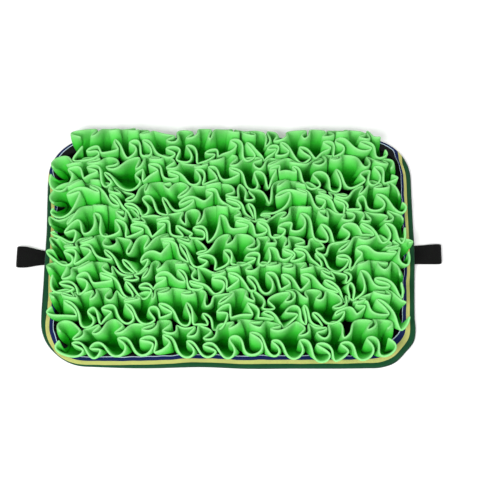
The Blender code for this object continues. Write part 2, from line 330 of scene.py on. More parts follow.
# %% Binding sizes
RING_STATIONS = 310
LEG_STATIONS = 7
FOLD_STATIONS = 7
RIBBON_SLACK = 0.0002
RIBBON_LIFT = 0.0005
LIFT_MIDDLE = 0.4
RIBBON_WANDER = 0.0011
FREE_FROM = 0.006
FREE_WIDTH = 0.012
EVEN_WIDTH = 0.0075
WANDER_WAVES = [(31, 1.0), (47, 4.0), (73, 0.0)]
LIFT_WAVES = [(38, 2.0), (61, 5.0)]
SEWN_ON = np.array([
    # distance, rolled, inner width, outward
    (0.000, 0.0005, 1.04, 0.0),
    (0.030, -0.0004, 1.30, 0.0026),
    (0.048, -0.0002, 1.50, 0.0010),
    (0.064, -0.0004, 1.24, 0.0034),
    (0.092, 0.0, 0.88, 0.0),
    (0.150, 0.0, 0.68, 0.0),
    (0.262, 0.0, 0.62, 0.0),
    (0.300, -0.0004, 0.42, 0.0),
    (0.322, 0.0125, 0.55, 0.0),
    (0.364, 0.0125, 0.70, 0.0),
    (0.702, 0.0125, 0.70, 0.0),
    (0.780, 0.0115, 0.64, 0.0),
    (0.802, 0.0030, 0.62, 0.0),
    (0.830, 0.0006, 0.64, 0.0),
    (0.920, -0.0004, 0.80, 0.0),
    (0.965, -0.0018, 0.98, 0.0),
    (1.000, 0.0020, 0.98, -0.0008),
    (1.026, 0.0052, 1.00, -0.0015),
    (1.066, 0.0044, 1.00, -0.0004),
    (1.115, 0.0028, 1.00, 0.0),
    (1.190, 0.0008, 1.00, 0.0),
    (1.404, 0.0005, 1.04, 0.0),
])

# %% Binding shape


def ribbon_section():
    """Insets, heights and distances from the fold's middle across the ribbon, bottom to top."""
    middle = RIBBON_THICKNESS / 2
    top = 2 * (RIBBON_THICKNESS + SEAT) + BASE_THICKNESS - middle
    leg = np.linspace(BINDING_WIDTH, FOLD_ROUNDING, LEG_STATIONS)
    way = np.linspace(-np.pi / 2, np.pi / 2, FOLD_STATIONS + 2)[1:-1]
    fold_inset = FOLD_ROUNDING - (FOLD_ROUNDING - middle) * np.cos(way)
    fold_height = (top + middle) / 2 + (top - middle) / 2 * np.sin(way)
    inset = np.concatenate([leg, fold_inset, leg[::-1]])
    height = np.concatenate([np.full(len(leg), middle), fold_height, np.full(len(leg), top)])
    travelled = running_total(np.hypot(np.diff(inset), np.diff(height)))
    return inset, height, travelled - travelled[-1] / 2


def mean_wave(turn, waves):
    """The mean of some sine waves round the mat, each with its number of waves and phase."""
    return sum(np.sin(count * turn + phase) for count, phase in waves) / len(waves)


def binding_sheet():
    """Each row is the section at one distance round the outline, its free edge lifted a little.

    A point's flat place is its distance round the mat, and its place along the section plus how
    far the ribbon is rolled there.
    """
    inset, height, across = ribbon_section()
    distance = np.linspace(0.0, ROUND_LENGTH, RING_STATIONS + 1)
    d, s = np.meshgrid(distance, across, indexing="ij")
    turn = 2 * np.pi * d / ROUND_LENGTH
    free = np.clip((s - FREE_FROM) / FREE_WIDTH, 0.0, 1.0)
    rolled, width, pulled = (np.interp(d, SEWN_ON[:, 0], column) for column in SEWN_ON.T[1:])
    narrowed = np.maximum(inset - EVEN_WIDTH, 0.0) * (width - 1) * (s > 0)
    pulled = pulled * (1 - inset / BINDING_WIDTH)
    in_from_edge = (inset + narrowed - pulled
                    + RIBBON_WANDER * free * mean_wave(turn, WANDER_WAVES))
    x, y = outline(d, in_from_edge)
    lift = RIBBON_LIFT * free * (LIFT_MIDDLE + mean_wave(turn, LIFT_WAVES))
    z = height + lift_over_tails(x, y, in_from_edge) + lift
    places = np.stack([x, y, z], axis=-1)
    flat = np.stack([d, s + rolled], axis=-1)
    sheet = make_sheet("edge_binding_ribbon", places, flat, closed=True)
    thicken(sheet, RIBBON_THICKNESS - RIBBON_SLACK)
    return sheet, across[-1] - across[0]


edge_binding, ribbon_width = binding_sheet()
print("ribbon width, mm:", round(ribbon_width * 1000, 1))

# %% [markdown]
# ## Webbing loops
# Each loop is a length of black webbing folded in two, with both tails sewn in under the
# binding. Its side view is a smooth curve: out along the floor, round, and back on top. The
# left one was sewn in with a twist, so it starts narrow and opens out.

# %% Loop shape
LOOP_REACH = 0.034
LOOP_GAP = 0.0062
TAIL_LENGTH = 0.016
LOOP_STATIONS = 96
WEBBING_COLUMNS = 13
FLOOR_SHARE = 0.4
RETURN_SHARES = np.array([0.62, 0.38, 0.14, 0.0])
RETURN_HEIGHTS = np.array([0.96, 0.55])
TAIL_EASE = 0.0002
OPEN_SHARE = 0.75
BUCKLE_HEIGHT = 0.004
BUCKLE_EASE = 0.006
BUCKLE_ABOVE = 0.0015


def loop_side_view():
    """Outward place, height and length along the webbing's middle line, smoothed."""
    low = WEBBING_THICKNESS / 2
    second = low + WEBBING_THICKNESS + SEAT
    radius = (LOOP_GAP + WEBBING_THICKNESS) / 2
    round_x = LOOP_REACH - radius - WEBBING_THICKNESS / 2
    way = np.radians(np.linspace(-90.0, 90.0, 9))
    out = np.concatenate([[-TAIL_LENGTH, 0.0, FLOOR_SHARE * LOOP_REACH],
                          round_x + radius * np.cos(way), LOOP_REACH * RETURN_SHARES,
                          [-TAIL_LENGTH]])
    up = np.concatenate([[low, low, low], low + radius + radius * np.sin(way),
                         low + LOOP_GAP * RETURN_HEIGHTS, [second + TAIL_EASE, second, second]])
    length = running_total(np.hypot(np.diff(out), np.diff(up)))
    even = np.linspace(0.0, length[-1], LOOP_STATIONS)
    kernel = np.array([1.0, 4.0, 6.0, 4.0, 1.0]) / 16.0
    smooth = []
    for line in (np.interp(even, length, out), np.interp(even, length, up)):
        padded = np.pad(line, 2, mode="reflect", reflect_type="odd")
        smooth.append(np.convolve(padded, kernel, mode="valid"))
    return smooth[0], smooth[1], even


def webbing_loop(name, side, y, seam_width, end_width):
    """Place (s, t) is the side view at s, and t half widths across; a twist tilts the middle."""
    out, up, along = loop_side_view()
    opening = smoothstep(out / (LOOP_REACH * OPEN_SHARE))
    half_width = (seam_width + (end_width - seam_width) * opening) / 2
    t = np.linspace(-1.0, 1.0, WEBBING_COLUMNS)
    x = side * (MAT_LENGTH / 2 + np.repeat(out[:, None], len(t), axis=1))
    across = y + half_width[:, None] * t
    twist = (end_width - seam_width) / end_width
    buckle = twist * BUCKLE_HEIGHT * (1 - opening) * smoothstep(out / BUCKLE_EASE)
    z = up[:, None] + buckle[:, None] * np.cos(np.pi * t) ** 2 * (up[:, None] > BUCKLE_ABOVE)
    places = np.stack([x, across, z], axis=-1)
    if side < 0:
        places = places[:, ::-1]
    flat = np.stack(np.broadcast_arrays(along[:, None], half_width[:, None] * t), axis=-1)
    sheet = make_sheet(name, places, flat)
    thicken(sheet, WEBBING_THICKNESS)
    return sheet, along[-1]


loops = {}
for name, side, y, seam_width, end_width in LOOPS:
    loops[name] = webbing_loop(f"{name}_webbing", side, y, seam_width, end_width)
    print(name, "webbing length, mm:", round(loops[name][1] * 1000, 1))

# %% [markdown]
# ## How the fleece strips start
# A gathered strip is laid in pleats and sewn to the base through its middle, and its two halves
# stand up beside the seam. A gathering thread would put the folds anywhere, so here the pleats
# are placed first, as a few corners seen from above: a long sweep to the right in front, a
# round turn, a wall back to the left, a sharp turn, and a hidden wall to the right behind it.
# At the seam the same three walls lie flat on each other. Slow swells and a fine ripple then
# push whole neighbourhoods about, so that no two folds are alike.

# %% Rows and pleats
FOLD_PITCH = 0.0232
PLEAT = np.array([
    # x, y
    (0.0000, -0.0090),
    (0.0105, -0.0084),
    (0.0165, -0.0062),
    (0.0196, -0.0022),
    (0.0196, 0.0020),
    (0.0165, 0.0046),
    (0.0080, 0.0056),
    (0.0090, 0.0086),
    (0.0185, 0.0092),
    (0.0232, 0.0066),
    (0.0240, 0.0000),
    (0.0236, -0.0060),
])
ROWS = [
    # left_end, right_end, pleats, left_lean, right_lean, front_lean, back_lean, seam_shift
    (-0.199, 0.176, 14, 0.001, 0.000, -0.0038, -0.0006, -0.0060),
    (-0.212, 0.189, 17, 0.005, 0.002, 0.0020, 0.0, -0.0015),
    (-0.211, 0.196, 18, 0.006, 0.004, 0.0, 0.0, -0.0010),
    (-0.211, 0.196, 17, 0.006, 0.003, 0.0, 0.0, -0.0005),
    (-0.211, 0.197, 16, 0.006, 0.002, 0.0, 0.0, 0.0),
    (-0.210, 0.197, 17, 0.005, 0.002, 0.0, 0.0, 0.0),
    (-0.210, 0.190, 16, 0.006, 0.001, 0.0, 0.0, 0.0),
    (-0.194, 0.173, 15, 0.002, 0.000, 0.0, 0.0050, 0.0),
]
print("pleats placed:", sum(row[2] for row in ROWS))

# %% Swells, pulls and ripple
SWELLS = [
    # heading, length, phase, push_x, push_y
    (0.10, 0.083, 1.0, 0.0, 0.0042),
    (0.32, 0.051, 2.7, 0.0, 0.0024),
    (-0.35, 0.118, 4.4, 0.0, 0.0038),
    (1.50, 0.105, 0.3, 0.0042, 0.0),
    (1.25, 0.064, 2.0, 0.0024, 0.0),
    (2.30, 0.085, 4.0, 0.0016, 0.0012),
    (0.30, 0.140, 0.5, 0.0026, 0.0),
]
PULLS = [
    # x, y, reach, push_x, push_y
    (0.127, -0.138, 0.017, 0.002, -0.0050),
    (0.155, 0.146, 0.020, 0.0, 0.0040),
    (0.060, 0.062, 0.032, 0.003, 0.0020),
    (-0.150, 0.060, 0.034, -0.005, 0.0020),
    (-0.213, 0.108, 0.014, 0.0, 0.0085),
    (0.192, 0.108, 0.016, 0.001, 0.0070),
]
RIPPLE_COUNT = 14
RIPPLE_SLOPE = 0.085
RIPPLE_LENGTHS = (0.032, 0.075)
CALM_FROM = -0.142
CALM_REACH = 0.045
CALM_SHARE = 0.25
luck = np.random.default_rng(11)


def make_ripple():
    """Headings, lengths, phases and pushes of many short waves with the same slope."""
    heading, length, phase, push_way = luck.uniform(
        [0.0, RIPPLE_LENGTHS[0], 0.0, 0.0], [np.pi, RIPPLE_LENGTHS[1], 2 * np.pi, 2 * np.pi],
        (RIPPLE_COUNT, 4)).T
    size = RIPPLE_SLOPE * length / (2 * np.pi)
    return heading, length, phase, size * np.cos(push_way), size * np.sin(push_way)


def wave_push(x, y, heading, length, phase, push_x, push_y):
    """The sum of many plane waves, each of which pushes along its own direction."""
    along = x[:, None] * np.cos(heading) + y[:, None] * np.sin(heading)
    wave = np.sin(2 * np.pi * along / length + phase)
    return np.stack([wave @ push_x, wave @ push_y], axis=-1)


def unrest(y):
    """How much the waves count at y: hardly along the front edge, where the row is tidy."""
    return CALM_SHARE + (1 - CALM_SHARE) * smoothstep((y[:, None] - CALM_FROM) / CALM_REACH)


def pushed(plan):
    """Plan places after the swells and the single pulls."""
    moved = plan + unrest(plan[:, 1]) * wave_push(plan[:, 0], plan[:, 1], *np.array(SWELLS).T)
    for pull_x, pull_y, reach, push_x, push_y in PULLS:
        away = ((plan - (pull_x, pull_y)) ** 2).sum(axis=1)
        moved = moved + np.outer(np.exp(-away / (2 * reach ** 2)), (push_x, push_y))
    return moved


RIPPLE = make_ripple()
print("longest ripple, mm:", round(RIPPLE[1].max() * 1000))

# %% One pleat
TURN_ROUNDING = 0.0009
PLEAT_SAMPLES = 240


def pleat_table():
    """Offsets of one pleat from a straight run, at even steps of its length.

    The corners are walked at an even pace, and rounded by a bell-shaped average over a fixed
    length, taken round the repeat.
    """
    corners = np.vstack([PLEAT, PLEAT[:1] + (FOLD_PITCH, 0.0)])
    travelled = running_total(np.linalg.norm(np.diff(corners, axis=0), axis=1))
    share = np.arange(PLEAT_SAMPLES) / PLEAT_SAMPLES
    at = share * travelled[-1]
    off = np.column_stack([np.interp(at, travelled, corners[:, 0]) - FOLD_PITCH * share,
                           np.interp(at, travelled, corners[:, 1])])
    steps = np.minimum(share, 1 - share) * travelled[-1]
    bell = np.exp(-steps ** 2 / (2 * TURN_ROUNDING ** 2))
    smooth = np.fft.ifft(np.fft.fft(off, axis=0) * np.fft.fft(bell / bell.sum())[:, None], axis=0)
    return np.vstack([smooth.real, smooth.real[:1]]), travelled[-1]


pleat_offsets, pleat_length = pleat_table()
print("fullness:", round(pleat_length / FOLD_PITCH, 2))

# %% Rims and seam of a strip
FOLD_LEAN = -0.20
SEAM_SHARE = 0.975
SEAM_RUN = 0.92
LAYER_RISE = 0.0028
RIM_SPREAD = 0.0062
LEAN_BACK = 0.0060
DEPTH_VARIETY = 0.13
FRONT_DEPTH = 0.77
FRONT_SIZE = 1.12
FRONT_VARIETY = 0.4
SNAKE = 0.0015
SNAKE_PACE = 0.55
RING_REACH = 0.0090
RING_DEPTH = 0.0074
RING_MIDDLE = -0.0014
RING_FOOT = 0.0060
LAP = 0.85
LAP_VARIETY = 0.20
PACE_VARIETY = 0.05
FIRST_TURN = -0.36
LAST_TURN = 0.44
SPARE_TURN = 0.4
END_REACH = 0.030


def waver(pleat, seeds):
    """A slow value between -2 and 2 that changes from pleat to pleat."""
    return np.sin(2.3 * pleat + seeds[0]) + np.sin(3.9 * pleat + seeds[1])


def rim_and_seam(row):
    """Lines of a row's seam (x, y, z), front rim and back rim (x, y), finely sampled.

    A row starts with half a ring, so that it shows a broad face to the left, and ends behind a
    round turn. On the seam a pleat's depth is turned into height: the front wall lies lowest.
    The front rim has the pleat's own depth, and the back rim is its mirror. Both lean back a
    little, but the very first rim stands straight, and its pleats are shallower and more alike.
    """
    left_end, right_end, count, left_lean, right_lean, front_lean, back_lean, shift = ROWS[row]
    seam_y = FIRST_SEAM_Y + SEAM_PITCH * row + shift
    pleat = np.arange(FIRST_TURN, count + LAST_TURN, 1 / PLEAT_SAMPLES)
    straight = left_end + (right_end - left_end) * (pleat - FIRST_TURN) / (count + SPARE_TURN)
    seeds = luck.uniform(0, 2 * np.pi, 10)
    paced = pleat + PACE_VARIETY * waver(pleat, seeds[8:])
    share = np.mod(paced, 1.0) * PLEAT_SAMPLES
    off_x, off_y = (np.interp(share, np.arange(PLEAT_SAMPLES + 1), column)
                    for column in pleat_offsets.T)
    ring = np.pi * np.clip(1 - pleat / FIRST_TURN, 0.0, 1.0)
    off_x = np.where(pleat < 0, -RING_REACH * np.sin(ring) - pleat * FOLD_PITCH, off_x)
    off_y = np.where(pleat < 0, RING_MIDDLE + RING_DEPTH * np.cos(ring), off_y)
    layer = (off_y - pleat_offsets[:, 1].min()) / np.ptp(pleat_offsets[:, 1])
    if row == 0:
        off_x, off_y = off_x * FRONT_SIZE, off_y * FRONT_SIZE
    sewn_x = (straight + SEAM_RUN * off_x + RING_FOOT * np.sin(ring)) * SEAM_SHARE
    seam = np.column_stack([sewn_x, np.full(len(pleat), seam_y), 2 * LAYER_RISE * layer])
    rims = []
    for side, lean, seed in ((-1, front_lean, seeds[:4]), (1, back_lean, seeds[4:8])):
        very_first = row == 0 and side < 0
        depth = FRONT_DEPTH if very_first else 1.0
        variety = DEPTH_VARIETY * (FRONT_VARIETY if very_first else 1.0)
        deep = off_y * (depth + variety * waver(pleat, seed[:2]))
        x = straight + off_x * (LAP + LAP_VARIETY * waver(pleat, seed[2:]))
        y = side * (RIM_SPREAD + lean - deep) + (0.0 if very_first else LEAN_BACK)
        y = y + SNAKE * waver(pleat * SNAKE_PACE, seeds[6:8])
        x = x + FOLD_LEAN * y
        x += right_lean * smoothstep((x - right_end) / END_REACH + 1)
        x -= left_lean * smoothstep((left_end - x) / END_REACH + 1)
        rims.append(pushed(np.column_stack([x, seam_y + y])))
    return seam, rims[0], rims[1]


# %% Starting grid of a strip
FLEECE_THICKNESS = 0.0028
FLAP_WIDTH = 0.035
BASE_TOP = BASE_THICKNESS + SEAT
COLUMN_LENGTH = 0.0033
LEVELS = 8
WALL_CURVE = 0.6
FOOT_REACH = 0.0088
FOOT_AT = 0.30
FRONT_FOOT = 1.4
LEAST_RISE = 0.35
levels = np.arange(-LEVELS, LEVELS + 1) / LEVELS
level_share = np.abs(levels)


def evenly(lines, spacing):
    """Samples lines together, at even steps of the rims' mean length."""
    steps = sum(np.linalg.norm(np.diff(line, axis=0), axis=1) for line in lines[1:]) / 2
    travelled = running_total(steps)
    even = np.linspace(0.0, travelled[-1], int(round(travelled[-1] / spacing)) + 1)
    return [np.column_stack([np.interp(even, travelled, axis) for axis in line.T])
            for line in lines]


def starting_strip(row):
    """A grid (columns, 2 * levels + 1, 3) from the front rim over the seam to the back rim.

    Going up a flap by share v, the plan place moves from the seam to the rim by a power of v,
    and out and partly back by a foot, v * exp(1 - v) in units of where the foot is widest. So the
    wall leaves the seam low and ends steep, and the height takes what is left of the length.
    """
    seam, front, back = evenly(rim_and_seam(row), COLUMN_LENGTH)
    share = level_share ** WALL_CURVE
    rims = np.stack([front] * LEVELS + [seam[:, :2]] + [back] * LEVELS, axis=1)
    plan = seam[:, None, :2] + (rims - seam[:, None, :2]) * share[:, None]
    reach = FOOT_REACH * np.where((levels < 0) & (row == 0), FRONT_FOOT, 1.0)
    plan[:, :, 1] += reach * levels / FOOT_AT * np.exp(1 - level_share / FOOT_AT)
    step = FLAP_WIDTH / LEVELS
    run = np.linalg.norm(np.diff(plan, axis=1), axis=2)
    rise = np.sqrt(np.maximum(step ** 2 - run ** 2, (LEAST_RISE * step) ** 2))
    height = np.zeros(plan.shape[:2])
    height[:, LEVELS + 1:] = np.cumsum(rise[:, LEVELS:], axis=1)
    height[:, :LEVELS] = np.cumsum(rise[:, LEVELS - 1::-1], axis=1)[:, ::-1]
    height += BASE_TOP + FLEECE_THICKNESS / 2 + seam[:, 2:] * (1 - share)
    return np.dstack([plan, height])


strips = [starting_strip(row) for row in range(ROW_COUNT)]
print("places in the strips:", sum(strip.shape[0] * strip.shape[1] for strip in strips))

# %% [markdown]
# ## How the fleece settles
# Real ruffles push each other about until the whole mat is full. Blender's own cloth could do
# that, but this lesson writes the rules out as a short position solver, so that each can be
# read. In each step every thread is brought back towards its length, which grows until the
# strip is full; the walls are held stiff, but may crease; and places of different folds that
# come closer than a cloth's thickness are pushed apart. The seam doesn't move. Only the grid's
# places are kept apart, not the faces between them, so some folds still overlap.

# %% Threads and walls
GIVE = 0.9
OPENING = 0.3
OPENING_CURVE = 1.5
CREASE = 0.0011
BEND_ALONG = 0.20
SEAM_BEND = 0.25
BEND_UP = 0.35
STIFF_WIDTH = 0.4
SHEAR = 0.2
loose = (level_share > 0).astype(float)


def gap_between(near, far):
    """The gaps from near places to far ones, and how long these gaps are."""
    gap = far - near
    return gap, np.sqrt((gap ** 2).sum(axis=2, keepdims=True)) + 1e-12


def pull_along(grid, length):
    """Threads along the strip: too long ones shorten, squeezed ones open, less near the seam."""
    opens = OPENING * level_share[:, None] ** OPENING_CURVE
    for start in (0, 1):
        near, far = grid[start:-1:2], grid[start + 1::2]
        gap, size = gap_between(near, far)
        share = (size - length) / size
        move = gap * share * np.where(share > 0, 0.5, opens) * loose[:, None]
        near += move
        far -= move


def pull_up(grid, length):
    """Threads from the seam up each flap keep their length."""
    for start in (0, 1):
        near, far = grid[:, start:-1:2], grid[:, start + 1::2]
        free_near, free_far = loose[start:-1:2, None], loose[start + 1::2, None]
        gap, size = gap_between(near, far)
        move = gap * (size - length) / size * GIVE / np.maximum(free_near + free_far, 1.0)
        near += move * free_near
        far -= move * free_far


def pull_across(grid, length):
    """Diagonals may shorten but hardly stretch, so that the cloth shears a little."""
    for near, far in ((grid[:-1, :-1], grid[1:, 1:]), (grid[1:, :-1], grid[:-1, 1:])):
        gap, size = gap_between(near, far)
        move = gap * np.maximum(size - length, 0.0) / size * SHEAR
        near += move * loose[:-1, None]
        far -= move * loose[1:, None]


def straighten(grid):
    """Each place moves towards the middle of its neighbours, but hardly where it is creased."""
    bend = (grid[:-2] + grid[2:]) / 2 - grid[1:-1]
    crease = (bend ** 2).sum(axis=2, keepdims=True) / CREASE ** 2
    held = (SEAM_BEND + (1 - SEAM_BEND) * level_share) * loose
    bend *= BEND_ALONG * held[:, None] / (1 + crease)
    grid[1:-1] += bend
    grid[:-2] -= bend / 2
    grid[2:] -= bend / 2
    stiff = BEND_UP * np.clip((level_share[1:-1] - FOOT_AT) / STIFF_WIDTH, 0.0, 1.0)[:, None]
    bend = ((grid[:, :-2] + grid[:, 2:]) / 2 - grid[:, 1:-1]) * stiff
    change = np.zeros_like(grid)
    change[:, 1:-1] += bend
    change[:, :-2] -= bend / 2
    change[:, 2:] -= bend / 2
    grid += change * loose[:, None]


# %% Near pairs
CLOSEST = 0.0031
SEARCH = 0.0044
CELL = 0.0042
GATHERED = 0.5
NEIGHBOUR_CELLS = np.array([
    (0, 0, 0), (1, 0, 0), (0, 1, 0), (1, 1, 0), (-1, 1, 0), (0, 0, 1), (1, 0, 1),
    (-1, 0, 1), (0, 1, 1), (0, -1, 1), (1, 1, 1), (-1, 1, 1), (1, -1, 1), (-1, -1, 1)])


def near_pairs(places, cell):
    """All pairs of places in the same cell or in touching cells, by sorting cell numbers."""
    cells = np.floor(places / cell).astype(np.int64)
    cells -= cells.min(axis=0) - 1
    _, deep, high = cells.max(axis=0) + 2
    number = (cells[:, 0] * deep + cells[:, 1]) * high + cells[:, 2]
    order = np.argsort(number, kind="stable")
    ordered = number[order]
    rank = np.arange(len(places))
    firsts, seconds = [], []
    for shift_x, shift_y, shift_z in NEIGHBOUR_CELLS:
        wanted = ordered + (shift_x * deep + shift_y) * high + shift_z
        same = shift_x == shift_y == shift_z == 0
        low = rank + 1 if same else np.searchsorted(ordered, wanted, "left")
        count = np.maximum(np.searchsorted(ordered, wanted, "right") - low, 0)
        first = np.repeat(rank, count)
        inside = np.arange(count.sum()) - np.repeat(np.cumsum(count) - count, count)
        firsts.append(order[first])
        seconds.append(order[np.repeat(low, count) + inside])
    return np.concatenate(firsts), np.concatenate(seconds)


def different_folds(places, row, column, level):
    """Near pairs, without a place's neighbours in its cloth and without pairs sewn together."""
    first, second = near_pairs(places, CELL)
    share = level_share[level]
    beside = ((np.abs(column[first] - column[second]) <= 1)
              & (np.abs(level[first] - level[second]) <= 1))
    gathered = share[first] + share[second] < GATHERED
    close = ((places[first] - places[second]) ** 2).sum(axis=1) < SEARCH ** 2
    keep = close & ~((row[first] == row[second]) & (beside | gathered))
    return first[keep], second[keep]


# %% Pushing apart
PUSH_SHARE = 0.45


def push_apart(places, free, first, second):
    """Each free place moves by the sum of its pushes over the root of their number.

    Pairs closer than CLOSEST push each other; their number is returned.
    """
    gap = places[first] - places[second]
    size = np.sqrt((gap ** 2).sum(axis=1)) + 1e-9
    touching = size < CLOSEST
    one, other, gap, size = first[touching], second[touching], gap[touching], size[touching]
    gap *= ((CLOSEST - size) / size * PUSH_SHARE)[:, None]
    total = len(places)
    push = np.stack([np.bincount(one, gap[:, axis], total)
                     - np.bincount(other, gap[:, axis], total) for axis in range(3)], axis=1)
    touches = np.bincount(one, minlength=total) + np.bincount(other, minlength=total)
    push /= np.sqrt(np.maximum(touches, 1))[:, None]
    places[free] += push[free]
    return len(one)


# %% Floor and wind
EDGE_HEIGHT = 0.0033
FLOOR_GAP = 0.0003
WIND = 0.00006
WIND_COUNT = 12
WIND_LENGTHS = (0.028, 0.09)


def ground_height(x, y):
    """Top of the base cloth, rising to the binding's top near the edge."""
    return BASE_THICKNESS + edge_rise(inset_at(x, y)) * EDGE_HEIGHT


def make_wind(x, y):
    """A slow random lean that differs from place to place, mostly along y."""
    heading, length, phase = luck.uniform(
        [0.0, WIND_LENGTHS[0], 0.0], [np.pi, WIND_LENGTHS[1], 2 * np.pi], (WIND_COUNT, 3)).T
    push_x, push_y = luck.normal(size=(2, WIND_COUNT))
    return wave_push(x, y, heading, length, phase, push_x / 4, push_y / 2)


# %% Settling
STEPS = 180
SORT_EVERY = 6
GROWTH = 0.06
GROWING_STEPS = 90
RIPPLE_HEIGHT = 0.02
DROP = 0.000018
DRIFT_STEPS = 120
OUTWARD = 0.000014
BACKWARD = 0.000008


def settle(strips, steps):
    """Runs the solver on all the strips at once and returns them as new grids."""
    width = 2 * LEVELS + 1
    columns = [len(strip) for strip in strips]
    ends = np.cumsum([0] + [count * width for count in columns])
    places = np.concatenate([strip.reshape(-1, 3) for strip in strips])
    raised = np.clip((places[:, 2:] - BASE_TOP) / RIPPLE_HEIGHT, 0.0, 1.0)
    calm = unrest(places[:, 1])
    places[:, :2] += wave_push(places[:, 0], places[:, 1], *RIPPLE) * raised * calm
    grids = [places[start:end].reshape(-1, width, 3) for start, end in zip(ends, ends[1:])]
    sewn_ends = [grid[[0, -1], :, :2].copy() for grid in grids]
    row = np.repeat(np.arange(len(strips)), np.diff(ends))
    column = np.concatenate([np.repeat(np.arange(count), width) for count in columns])
    level = np.tile(np.arange(width), sum(columns))
    free = level != LEVELS
    drift = WIND * make_wind(places[:, 0], places[:, 1]) * calm
    drift[:, 1] += OUTWARD * np.sign(level - LEVELS) + BACKWARD
    drift *= level_share[level, None] ** 2
    step_up = FLAP_WIDTH / LEVELS
    for step in range(steps):
        step_along = COLUMN_LENGTH * (1 + GROWTH * min(1.0, step / GROWING_STEPS))
        places[free, 2] -= DROP
        if step < DRIFT_STEPS:
            places[:, :2] += drift
        for grid in grids:
            pull_along(grid, step_along)
            pull_up(grid, step_up)
            pull_across(grid, np.hypot(step_along, step_up))
            straighten(grid)
            straighten(grid)
        if step % SORT_EVERY == 0:
            first, second = different_folds(places, row, column, level)
        touching = push_apart(places, free, first, second)
        ground = ground_height(places[:, 0], places[:, 1]) + FLEECE_THICKNESS / 2 + FLOOR_GAP
        places[free, 2] = np.maximum(places[free, 2], ground[free])
        for grid, sewn in zip(grids, sewn_ends):
            grid[[0, -1], :, :2] = sewn
    print("touching pairs at the end:", touching)
    return grids


settled = settle(strips, STEPS)
rim_heights = np.concatenate([grid[:, [0, -1], 2].ravel() for grid in settled])
print("rim heights, mm:", np.percentile(rim_heights * 1000, [5, 50, 95]).round(1))

# %% [markdown]
# ## Fleece strips as cloth
# The settled grid is the middle of the cloth. Solidify thickens it, and one level of subdivision
# rounds the cut rims. A number called rise, 0 at the seam and 1 at the rim, is kept for the
# fleece colour, which paints shade towards the seam and a highlight at the rim.

# %% Strips
STRIP_GROWN = COLUMN_LENGTH * (1 + GROWTH)


def fleece_strip(row, grid):
    """The settled grid of one row as a soft sheet."""
    columns, width, _ = grid.shape
    along = np.arange(columns)[:, None] * STRIP_GROWN
    across = np.arange(width)[None, :] * FLAP_WIDTH / LEVELS
    flat = np.stack(np.broadcast_arrays(along, across), axis=-1)
    strip = make_sheet(f"fleece_strip_{row + 1}", grid, flat)
    # rise drives the painted shade and painted highlight in the fleece colour
    rise = strip.data.attributes.new("rise", "FLOAT", "POINT")
    rise.data.foreach_set("value", np.tile(level_share, columns).astype(np.float32))
    thicken(strip, FLEECE_THICKNESS)
    return strip


fleece_strips = [fleece_strip(row, grid) for row, grid in enumerate(settled)]
strip_lengths = [(len(grid) - 1) * STRIP_GROWN for grid in settled]
print("strip lengths, mm:", [round(length * 1000) for length in strip_lengths])

# %% [markdown]
# ## Materials
# Every finish is a small network of nodes. Two effects are used by more than one cloth, so each
# is a node group: a woven relief with threads both ways, and the soft unevenness of dyed cloth.

# %% Node helpers


def feed(tree, socket, value):
    """Links an input to another node's socket, or sets it to a constant."""
    if isinstance(value, bpy.types.NodeSocket):
        tree.links.new(value, socket)
    elif value is not None:
        socket.default_value = value


def node_in(tree, kind, inputs=None, **settings):
    """A new node with its settings, and with sockets or constants at its inputs."""
    node = tree.nodes.new(kind)
    for name, value in settings.items():
        setattr(node, name, value)
    for name, value in (inputs or {}).items():
        feed(tree, node.inputs[name], value)
    return node


def math_node(tree, operation, *values):
    """The result of a Math node whose inputs are sockets or numbers."""
    return node_in(tree, "ShaderNodeMath", dict(enumerate(values)), operation=operation).outputs[0]


def new_group(name, inputs, outputs):
    """An empty node group with named sockets; returns its tree, its inputs and its outputs."""
    tree = bpy.data.node_groups.new(name, "ShaderNodeTree")
    for way, sockets in (("INPUT", inputs), ("OUTPUT", outputs)):
        for socket_name, kind in sockets.items():
            tree.interface.new_socket(socket_name, in_out=way, socket_type=f"NodeSocket{kind}")
    inside, outside = tree.nodes.new("NodeGroupInput"), tree.nodes.new("NodeGroupOutput")
    return tree, inside.outputs, outside.inputs


# %% Woven relief


def make_weave_group():
    """Height = |sin| of the place across and along, each by its own thread spacing.

    Neighbouring threads take turns on top, by a checker of the spacing.
    """
    tree, given, result = new_group(
        "woven_relief", {"Place": "Vector", "Along Spacing": "Float", "Across Spacing": "Float"},
        {"Height": "Float"})
    place = node_in(tree, "ShaderNodeSeparateXYZ", {0: given["Place"]}).outputs
    turns = [math_node(tree, "DIVIDE", place["X"], given["Along Spacing"]),
             math_node(tree, "DIVIDE", place["Y"], given["Across Spacing"])]
    waves = [math_node(tree, "ABSOLUTE", math_node(
        tree, "SINE", math_node(tree, "MULTIPLY", turn, float(np.pi)))) for turn in turns]
    threads = [math_node(tree, "FLOOR", turn) for turn in turns]
    over = math_node(tree, "ABSOLUTE", math_node(
        tree, "MODULO", math_node(tree, "ADD", *threads), 2.0))
    mix = node_in(tree, "ShaderNodeMix", {0: over, 2: waves[0], 3: waves[1]}, data_type="FLOAT")
    feed(tree, result["Height"], mix.outputs[0])
    return tree


weave_group = make_weave_group()
print("nodes in the woven relief:", len(weave_group.nodes))

# %% Uneven dye


